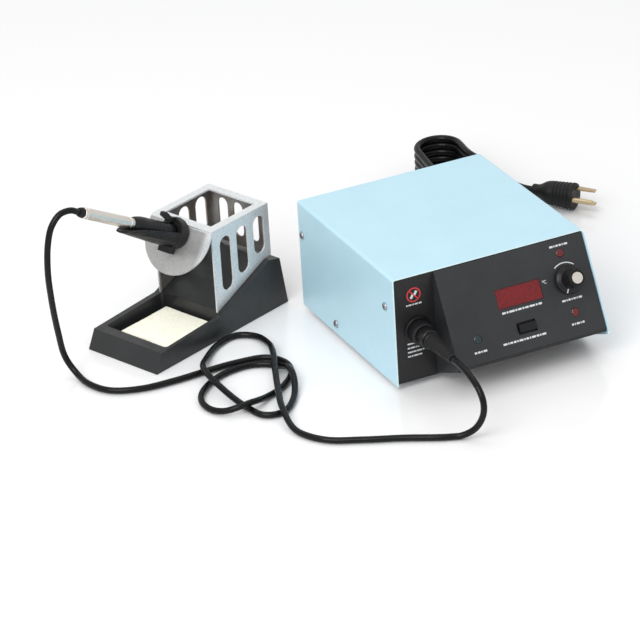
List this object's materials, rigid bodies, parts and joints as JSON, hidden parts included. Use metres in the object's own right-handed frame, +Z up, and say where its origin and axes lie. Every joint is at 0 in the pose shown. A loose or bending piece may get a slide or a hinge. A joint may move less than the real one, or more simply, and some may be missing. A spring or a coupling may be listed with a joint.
{
  "type": "soldering iron station",
  "caption": "Soldering station: blue metal control unit with sloped panel, weighted stand with sheet metal cage and sponge tray, iron on its lead, folded mains lead.",
  "frame": {"origin": "centre of the bottom of the box round the control unit, stand and iron, without the free leads", "axes": "+X to the unit's right, +Y to its rear, +Z up; the sloped panel faces -Y"},
  "size_m": [0.5474, 0.475, 0.1601],
  "materials": {
    "case_paint": "pale blue textured paint",
    "charcoal": "fine textured charcoal",
    "charcoal_steel": "satin charcoal paint",
    "black_plastic": "satin black",
    "rubber": "matt black",
    "cord_jacket": "smooth black",
    "grey_plastic": "dark grey",
    "steel": "bright steel",
    "zinc": "galvanised sheet",
    "silver": "satin metal",
    "brass": "bright brass",
    "copper": "enamelled copper winding",
    "iron_core": "dark laminations and tip plating",
    "board": "green circuit board",
    "window": "dark red tint",
    "red_lamp": "red lens",
    "teal_lamp": "green lens",
    "sponge": "cellulose sponge"
  },
  "bodies": {
    "station": {"chassis_pan": "zinc", "control_board": "board", "cord_tie": "grey_plastic", "cover": "case_paint", "cover_screw_left_1": "steel", "cover_screw_left_2": "steel", "cover_screw_left_3": "steel", "cover_screw_right_1": "steel", "cover_screw_right_2": "steel", "cover_screw_right_3": "steel", "display_module": "grey_plastic", "display_window": "window", "foot_1": "rubber", "foot_2": "rubber", "foot_3": "rubber", "foot_4": "rubber", "front_bezel": "charcoal", "fuse_holder": "black_plastic", "heater_lamp": "red_lamp", "holder_ring": "black_plastic", "iron_cord": "cord_jacket", "iron_holder": "black_plastic", "iron_socket": "black_plastic", "mains_cord": "cord_jacket", "mains_gland": "rubber", "mains_hank": "cord_jacket", "mains_plug": "rubber", "mains_tail": "cord_jacket", "mode_switch_body": "black_plastic", "plug_blade_1": "brass", "plug_blade_2": "brass", "plug_boot": "rubber", "plug_ground": "brass", "plug_shell": "grey_plastic", "pot_body": "grey_plastic", "power_lamp": "teal_lamp", "power_switch_body": "black_plastic", "rear_panel": "charcoal_steel", "set_mode_lamp": "red_lamp", "stand_base": "charcoal", "stand_bracket": "zinc", "transformer_coil": "copper", "transformer_core": "iron_core"},
    "knob_shaft": {"knob_shaft": "steel"},
    "knob": {"knob": "black_plastic", "knob_cap": "silver"},
    "mode_button": {"mode_switch_button": "grey_plastic"},
    "power_rocker": {"power_rocker": "grey_plastic"},
    "plug_ring": {"plug_ring": "grey_plastic"},
    "fuse_cap": {"fuse_cap": "grey_plastic"},
    "sponge": {"sponge": "sponge"},
    "iron": {"iron_handle": "silver", "iron_grip": "black_plastic", "iron_boot": "black_plastic", "barrel_nut": "steel", "iron_barrel": "steel", "iron_tip": "iron_core"}
  },
  "joints": [
    {"name": "knob_pull", "type": "slide", "parent": "station", "child": "knob_shaft", "axis": [0, -0.882, 0.4713], "range_m": [0, 0.004]},
    {"name": "knob_turn", "type": "hinge", "parent": "knob_shaft", "child": "knob", "pos_m": [0.16405, -0.13118, 0.0691], "axis": [0, -0.882, 0.4713], "range_deg": [-140, 140]},
    {"name": "mode_switch_tilt", "type": "hinge", "parent": "station", "child": "mode_button", "pos_m": [0.11845, -0.14183, 0.04282], "axis": [0, 0.4713, 0.882], "range_deg": [-8, 8]},
    {"name": "power_switch_tilt", "type": "hinge", "parent": "station", "child": "power_rocker", "pos_m": [0.09105, 0.0602, 0.029], "axis": [0, 0, 1], "range_deg": [-8, 8]},
    {"name": "plug_ring_turn", "type": "hinge", "parent": "station", "child": "plug_ring", "pos_m": [0.03405, -0.1136, 0.052], "axis": [0, -1, 0], "range_deg": [0, 60]},
    {"name": "fuse_cap_turn", "type": "hinge", "parent": "station", "child": "fuse_cap", "pos_m": [0.12305, 0.0612, 0.028], "axis": [0, 1, 0], "range_deg": [0, 90]},
    {"name": "iron_lift", "type": "slide", "parent": "station", "child": "iron", "axis": [-0.7989, -0.3342, 0.5], "range_m": [0, 0.14], "deforming": ["iron_cord"]},
    {"name": "sponge_lift", "type": "slide", "parent": "station", "child": "sponge", "axis": [0, 0, 1], "range_m": [0, 0.03]}
  ]
}
